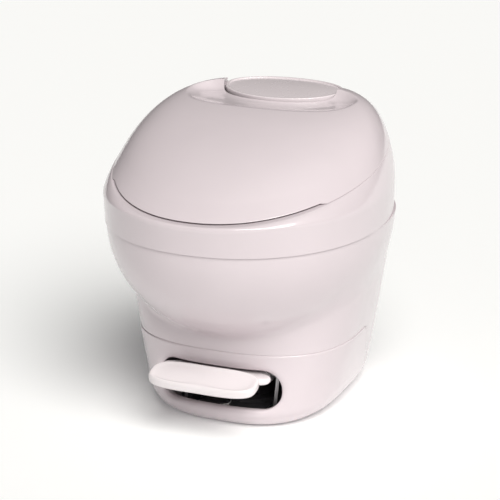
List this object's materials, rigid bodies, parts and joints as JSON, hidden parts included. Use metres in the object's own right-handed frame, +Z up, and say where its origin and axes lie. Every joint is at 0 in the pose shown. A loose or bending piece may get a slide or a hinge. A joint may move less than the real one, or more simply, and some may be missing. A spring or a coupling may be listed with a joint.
{
  "type": "rv toilet",
  "caption": "Low-profile RV toilet with a domed lid, seat, tapering bowl casing on a pedestal, and a foot pedal that swings the outlet blade and opens the flush valve.",
  "frame": {"origin": "middle of the footprint at floor level, midway between the front and the rear of the shroud", "axes": "+Z up, -Y towards the front of the toilet, +X towards the toilet's left-hand side as seen from behind it"},
  "size_m": [0.416, 0.4819, 0.4608],
  "materials": {
    "shell_plastic": "glossy moulded white plastic with a faint pink tone",
    "cap_plastic": "satin moulded plastic, a little greyer than the shell",
    "bowl_plastic": "very smooth glossy bowl lining",
    "frame_plastic": "dark grained structural plastic",
    "acetal": "natural unfilled acetal",
    "rubber": "black moulded rubber",
    "steel": "stainless steel, lightly brushed",
    "brass": "plain machined brass"
  },
  "bodies": {
    "toilet": {"base_cover": "shell_plastic", "body_shell": "shell_plastic", "hinge_cover": "cap_plastic", "shroud": "shell_plastic", "bowl": "bowl_plastic", "rim_nozzle": "acetal", "outlet_housing": "frame_plastic", "chamber_lid": "frame_plastic", "blade_seal": "rubber", "rack_guide": "frame_plastic", "pedal_bracket_left": "steel", "pedal_bracket_right": "steel", "return_spring": "steel", "spring_seat": "acetal", "base_plate": "frame_plastic", "floor_seal": "rubber", "closet_bolt_left": "brass", "closet_bolt_right": "brass", "closet_washer_left": "steel", "closet_washer_right": "steel", "closet_nut_left": "brass", "closet_nut_right": "brass", "water_valve": "acetal", "inlet_fitting": "brass", "vacuum_breaker": "acetal", "vacuum_breaker_cap": "acetal", "riser_hose": "rubber", "rinse_hose": "rubber", "supply_tube": "rubber", "hose_clamp_valve": "steel", "hose_clamp_breaker": "steel", "hose_clamp_side": "steel", "hose_clamp_nozzle": "steel", "hinge_pin_left": "steel", "hinge_pin_right": "steel", "shroud_screw_left": "steel", "shroud_screw_right": "steel", "bowl_screw_1": "steel", "bowl_screw_2": "steel", "bowl_screw_3": "steel"},
    "seat_ring": {"seat": "shell_plastic", "seat_bumper_front_left": "rubber", "seat_bumper_front_right": "rubber", "seat_bumper_rear_left": "rubber", "seat_bumper_rear_right": "rubber"},
    "lid_cover": {"lid": "shell_plastic", "lid_bumper_left": "rubber", "lid_bumper_right": "rubber"},
    "pedal": {"pedal_pad": "shell_plastic", "pedal_lever": "shell_plastic", "pedal_shaft": "steel", "pedal_crank": "steel"},
    "rack": {"rack_slide": "acetal"},
    "blade_assembly": {"blade": "steel", "blade_shaft": "steel", "blade_pinion": "acetal"},
    "plunger": {"valve_plunger": "steel"},
    "float": {"vacuum_float": "rubber"},
    "inlet_swivel": {"inlet_nut": "brass"}
  },
  "joints": [
    {"name": "seat_raise", "type": "hinge", "parent": "toilet", "child": "seat_ring", "pos_m": [0, 0.1445, 0.439], "axis": [-1, 0, 0], "range_deg": [0, 95]},
    {"name": "lid_open", "type": "hinge", "parent": "seat_ring", "child": "lid_cover", "pos_m": [0, 0.1445, 0.439], "axis": [1, 0, 0], "range_deg": [-100, 0]},
    {"name": "pedal_press", "type": "hinge", "parent": "toilet", "child": "pedal", "pos_m": [0, -0.0595, 0.062], "axis": [1, 0, 0], "range_deg": [0, 26], "stiffness_Nm_per_rad": 4, "springref_deg": -34.38, "deforming": ["return_spring"]},
    {"name": "rack_travel", "type": "slide", "parent": "toilet", "child": "rack", "axis": [0, -1, 0], "range_m": [0, 0.0216]},
    {"name": "blade_swing", "type": "hinge", "parent": "toilet", "child": "blade_assembly", "pos_m": [0.066, 0.0065, 0.09], "axis": [0, 0, -1], "range_deg": [0, 85.01]},
    {"name": "plunger_press", "type": "slide", "parent": "toilet", "child": "plunger", "axis": [1, 0, 0], "range_m": [0, 0.00401]},
    {"name": "float_lift", "type": "slide", "parent": "toilet", "child": "float", "axis": [0, 0, 1], "range_m": [0, 0.005]},
    {"name": "inlet_spin", "type": "hinge", "parent": "toilet", "child": "inlet_swivel", "pos_m": [0.06, 0.2255, 0.11], "axis": [0, 1, 0], "continuous": true}
  ],
  "couplings": [
    {"joint": "rack_travel", "follows": "pedal_press", "m_per_rad": 0.047589},
    {"joint": "blade_swing", "follows": "pedal_press", "ratio": 3.2692},
    {"joint": "plunger_press", "follows": "pedal_press", "m_per_rad": 0.0088147}
  ]
}
